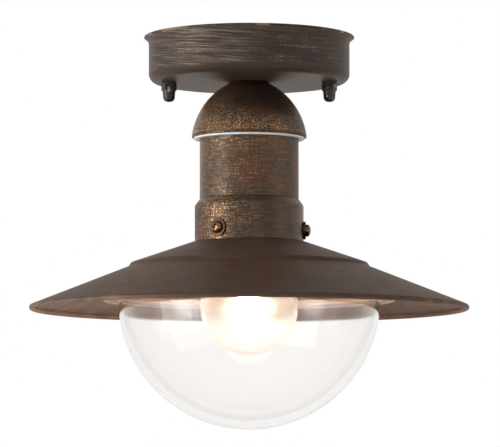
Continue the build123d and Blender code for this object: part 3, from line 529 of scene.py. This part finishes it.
def bulb_cap():
    """Rolled sheet cap: neck lip, deep round thread and cone to the insulator."""
    lip, root, inner = 13.0, 12.35, 11.75
    low, shoulder, mouth = -116.2, -95.8, -93.4
    rows = plain((lip, low), (lip, low + 0.6), (root, low + 0.6))
    rows += thread(13.2, E27, low + 2.2, shoulder - 0.3, 0.7)
    rows += plain((root, shoulder), (10.05, mouth), (9.45, mouth), (inner, shoulder), (inner, low))
    threaded_piece("bulb_cap", "threaded_bulb_cap", rows, E27, tube=True)


def bulb_tip():
    """Soldered contact, a low dome that just clears the glass it turns against."""
    foot = -90.97
    dome = ((4.2, 0.0), (4.4, 0.2), (4.4, 0.5), (3.9, 0.95), (2.5, 1.1), (0.8, 1.15))
    shape = bmesh.new()
    turned(shape, plain(*((radius, foot + rise) for radius, rise in dome)))
    shaped_piece("bulb_tip", "soldered_tip", shape)


def arc(middle, radius, start, end, steps):
    """Points of an arc in radius and height, from one angle to another in degrees."""
    angles = [math.radians(start + (end - start) * step / steps) for step in range(steps + 1)]
    return [(middle[0] + radius * math.cos(a), middle[1] + radius * math.sin(a)) for a in angles]


def glass_bowl():
    """Moulded bowl with an even wall, a round bottom and a flange with a rounded rim."""
    centre, outer, inner, flange, rounding = -161.52, 80.5, 78.5, 90.0, 1.2
    top, under = centre + 1.5, centre - 1.7
    meeting = math.degrees(math.asin((under - centre) / outer))
    edge = flange - rounding
    profile = arc((0.0, centre), outer, POLE, meeting, BOWL_ROWS)
    profile += arc((edge, under + rounding), rounding, -90.0, 0.0, RIM_ROWS)
    profile += arc((edge, top - rounding), rounding, 0.0, 90.0, RIM_ROWS)
    profile += [(inner, top)] + arc((0.0, centre), inner, 0.0, POLE, BOWL_ROWS)
    shape = bmesh.new()
    turned(shape, plain(*profile), sides=BOWL_SIDES)
    shaped_piece("glass_bowl", "moulded_bowl", shape)


def cross_cutter():
    """Two crossed wedges, for the cross recess of a screw head."""
    # Length, width and level of a wedge's bottom and mouth
    bottom, mouth = (1.7, 0.95, 0.9), (4.7, 1.3, 3.4)
    shape = bmesh.new()
    for turn in (0, math.pi / 2):
        corners = []
        for long, wide, level in (bottom, mouth):
            for x, y in ((-1, -1), (1, -1), (1, 1), (-1, 1)):
                spot = Vector((x * long / 2, y * wide / 2, level))
                corners.append(shape.verts.new(Matrix.Rotation(turn, 3, "Z") @ spot * MM))
        low, high = corners[:4], corners[4:]
        shape.faces.new(reversed(low))
        shape.faces.new(high)
        for index in range(4):
            after = (index + 1) % 4
            shape.faces.new((low[index], low[after], high[after], high[index]))
    return meshed("cross_cutter", shape)


def cut(mesh, tool):
    """A mesh with another cut out of it."""
    blank = bpy.data.objects.new("blank", mesh)
    cutter = bpy.data.objects.new("cutter", tool)
    for piece in (blank, cutter):
        bpy.context.scene.collection.objects.link(piece)
    step = blank.modifiers.new("recess", "BOOLEAN")
    step.operation = "DIFFERENCE"
    step.object = cutter
    step.use_self = True
    graph = bpy.context.evaluated_depsgraph_get()
    done = bpy.data.meshes.new_from_object(blank.evaluated_get(graph))
    for piece in (blank, cutter):
        bpy.data.objects.remove(piece)
    done.set_sharp_from_angle(angle=SHARP_EDGE)
    return done


def clamp_screws():
    """Domed screws with a cross recess, pointing straight out of the neck."""
    seat, level = 34.8, -119.8
    head, rim, crown, end = 3.75, 1.2, 1.9, -8.0
    turns = [step * math.pi / 16 for step in range(8)]
    dome = [(head * math.cos(turn), rim + crown * math.sin(turn)) for turn in turns]
    rows = plain((1.4, end)) + thread(2.0, M4, -7.7, -0.4) + plain((1.6, 0), (head, 0)) + plain(*dome)
    for place, degrees in (("front", -34.0), ("right", 86.0), ("rear", 206.0)):
        node = "clamp_screw_" + place
        name = node + "_domed"
        azimuth = math.radians(degrees)
        shape = bmesh.new()
        turned(shape, rows, M4[0], Matrix.Rotation(-azimuth / 2, 4, "Z"))
        mesh = cut(meshed(name, shape), cross_cutter())
        side, out = math.sin(azimuth), math.cos(azimuth)
        frame_of_screw = Matrix((
            (out, 0, side, seat * side * MM),
            (side, 0, -out, -seat * out * MM),
            (0, 1, 0, level * MM),
            (0, 0, 0, 1),
        ))
        mesh.transform(frame_of_screw @ Matrix.Rotation(azimuth / 2, 4, "Z"))
        stand_in(node, bpy.data.objects.new(name, mesh))


def drawn_wire(name, points, thick):
    """A round wire along one smooth curve that the points pull into shape."""
    data = bpy.data.curves.new(name, "CURVE")
    data.dimensions = "3D"
    data.bevel_depth = thick * MM / 2
    data.bevel_resolution = 5
    data.use_fill_caps = True
    spline = data.splines.new("NURBS")
    spline.points.add(len(points) - 1)
    for knot, spot in zip(spline.points, points):
        knot.co = (*(Vector(spot) * MM), 1.0)
    spline.order_u = 3
    spline.use_endpoint_u = True
    spline.resolution_u = 12
    return bpy.data.objects.new(name, data)


def wires():
    """Two supply wires down the nipple and an earth wire to its lug."""
    in_nipple, terminal = 1.3, 8.0
    routes = {}
    for node, side, pole in (("live_wire", -1, -10.0), ("neutral_wire", 1, 0.0)):
        x = side * in_nipple
        routes[node] = [
            (pole, 29.0, -20.3), (pole, 17.1, -19.0), ((pole + x) / 2, 11.5, -13.5), (x, 4.6, -12.7),
            (x, 0.0, -17.5), (x, 0.0, -65.9), (side * terminal, 0.0, -72.6), (side * terminal, 0.0, -78.0),
        ]
    routes["earth_wire"] = [
        (24.757, 1.243, -24.3), (20.515, 5.485, -24.3), (10.0, 19.0, -21.3), (10.0, 29.0, -20.3),
    ]
    for node, points in routes.items():
        piece = stand_in(node, drawn_wire(node + "_insulated", points, WIRE_THICK))
        start = tuple(value * MM for value in points[0])


def filament():
    """A coil wound as a hairpin, with both legs at its top."""
    top, low, ceiling, reach, turns, steps = -160.7, -173.7, -157.1, 0.75, 9, 12
    leg, bend = 0.45, 1.0
    count = turns * steps
    down = [((top - low) * step / count, 2 * math.pi * step / steps) for step in range(count + 1)]

    def wound(side, way):
        across = side * reach
        return [(across * math.cos(angle), across * math.sin(angle), top - fall) for fall, angle in way]

    points = [(-leg, 0.0, ceiling), (-leg, 0.0, top + bend)]
    points += wound(-1, down) + wound(1, reversed(down))
    points += [(leg, 0.0, top + bend), (leg, 0.0, ceiling)]
    stand_in("bulb_filament", drawn_wire("filament_coil", points, COIL_THICK))


def sky():
    """Soft even light that looks white to the camera, to metal and to glass."""
    world = bpy.data.worlds.new("studio")
    bpy.context.scene.world = world
    world.use_nodes = True
    tree = world.node_tree
    background = tree.nodes["Background"]
    seen = ray(tree, "Is Camera Ray").larger(ray(tree, "Is Glossy Ray"))
    seen = seen.larger(ray(tree, "Is Transmission Ray"))
    (SKY_LIGHT + (1.0 - SKY_LIGHT) * seen).feed(background, "Strength")
    background.inputs["Color"].default_value = (*WHITE, 1.0)


def square(name, half, level, made):
    """A flat square of one finish, about the origin."""
    mesh = bpy.data.meshes.new(name)
    corners = ((-half, -half), (half, -half), (half, half), (-half, half))
    mesh.from_pydata([(x, y, level) for x, y in corners], [], [(0, 1, 2, 3)])
    mesh.materials.append(made)
    return bpy.data.objects.new(name, mesh)


def staged(sheet):
    """Puts a sheet in the scene."""
    bpy.context.scene.collection.objects.link(sheet)


def floor():
    """Pale floor that keeps some shadow for the camera and is white in metal and glass."""
    made, shader, place = finish("pale_floor", Roughness=0.8)
    tree = made.node_tree
    place.noise(3.0, 2.0).blend(color(246, 246, 245), color(240, 240, 238)).feed(shader, "Base Color")
    mirrored = ray(tree, "Is Glossy Ray").larger(ray(tree, "Is Transmission Ray"))
    seen = mirrored.larger(FLOOR_WHITENESS * ray(tree, "Is Camera Ray"))
    white = place.add("ShaderNodeEmission", {}, {"Strength": 1.0})
    seen.mix(Tap(tree, shader.outputs[0]), white).feed(tree.nodes["Material Output"], "Surface")
    staged(square("floor", FLOOR_SIZE / 2, FLOOR_LEVEL, made))


def aim(thing, place):
    """Moves a lamp or a sheet to its place and turns it to the object."""
    thing.location = place
    thing.rotation_euler = (Vector(LAMP_AIM) - Vector(place)).to_track_quat("-Z", "Y").to_euler()


def lamp(name, place, width, height, power, tint=WHITE):
    """A sheet of light, hidden from view through glass."""
    data = bpy.data.lights.new(name, "AREA")
    data.shape = "RECTANGLE"
    data.size = width
    data.size_y = height
    data.energy = power
    data.color = tint
    light = bpy.data.objects.new(name, data)
    aim(light, place)
    light.visible_transmission = False
    bpy.context.scene.collection.objects.link(light)


def glint(name, place, radius, strength):
    """A soft round sheet that shows only where glass mirrors it, and lights nothing."""
    made, _, spot = finish(name)
    tree = made.node_tree
    bounces = ray(tree, "Glossy Depth")
    mirrored = bounces.math("MINIMUM", bounces, 1.0) * ray(tree, "Is Transmission Ray")
    seen = mirrored * (1.0 - spot.off_axis().between(GLINT_CORE * radius, radius))
    glow = spot.add("ShaderNodeEmission", {}, {"Strength": strength})
    clear = spot.add("ShaderNodeBsdfTransparent")
    seen.mix(clear, glow).feed(tree.nodes["Material Output"], "Surface")
    made.cycles.emission_sampling = "NONE"
    sheet = square(name, radius, 0.0, made)
    aim(sheet, place)
    staged(sheet)


def studio():
    """White surroundings, two softboxes with their glints in glass, and light thrown up by the floor."""
    sky()
    floor()
    for index, (spread, share) in enumerate(SOFTBOX_SHEETS):
        for name, place, width, height, power, tint in SOFTBOXES:
            lamp("%s_%d" % (name, index), place, width * spread, height * spread, power * share, tint)
    glint("left_glint", (-0.95, -0.74, -0.24), 0.55, 13.0)
    glint("right_glint", (1.25, -0.81, -0.3), 0.5, 8.0)
    lamp("floor_bounce", (0.6, -0.7, -0.85), 1.0, 0.7, 4.2)
    lamp("left_bounce", (-0.8, -0.5, -0.85), 0.8, 0.7, 1.8)


def photo_camera():
    """The view of the photograph."""
    data = bpy.data.cameras.new("photo_camera")
    data.sensor_width = SENSOR_WIDTH
    data.lens = LENS
    camera = bpy.data.objects.new("photo_camera", data)
    camera.location = CAMERA_PLACE
    camera.rotation_euler = (math.pi / 2 + CAMERA_TILT, 0.0, 0.0)
    bpy.context.scene.collection.objects.link(camera)
    bpy.context.scene.camera = camera


dress_nodes()
bracket_studs()
weld_studs()
nipple()
clamp_screws()
glass_bowl()
bulb_cap()
bulb_tip()
filament()
wires()
studio()
photo_camera()
bpy.context.scene.view_settings.view_transform = "Standard"
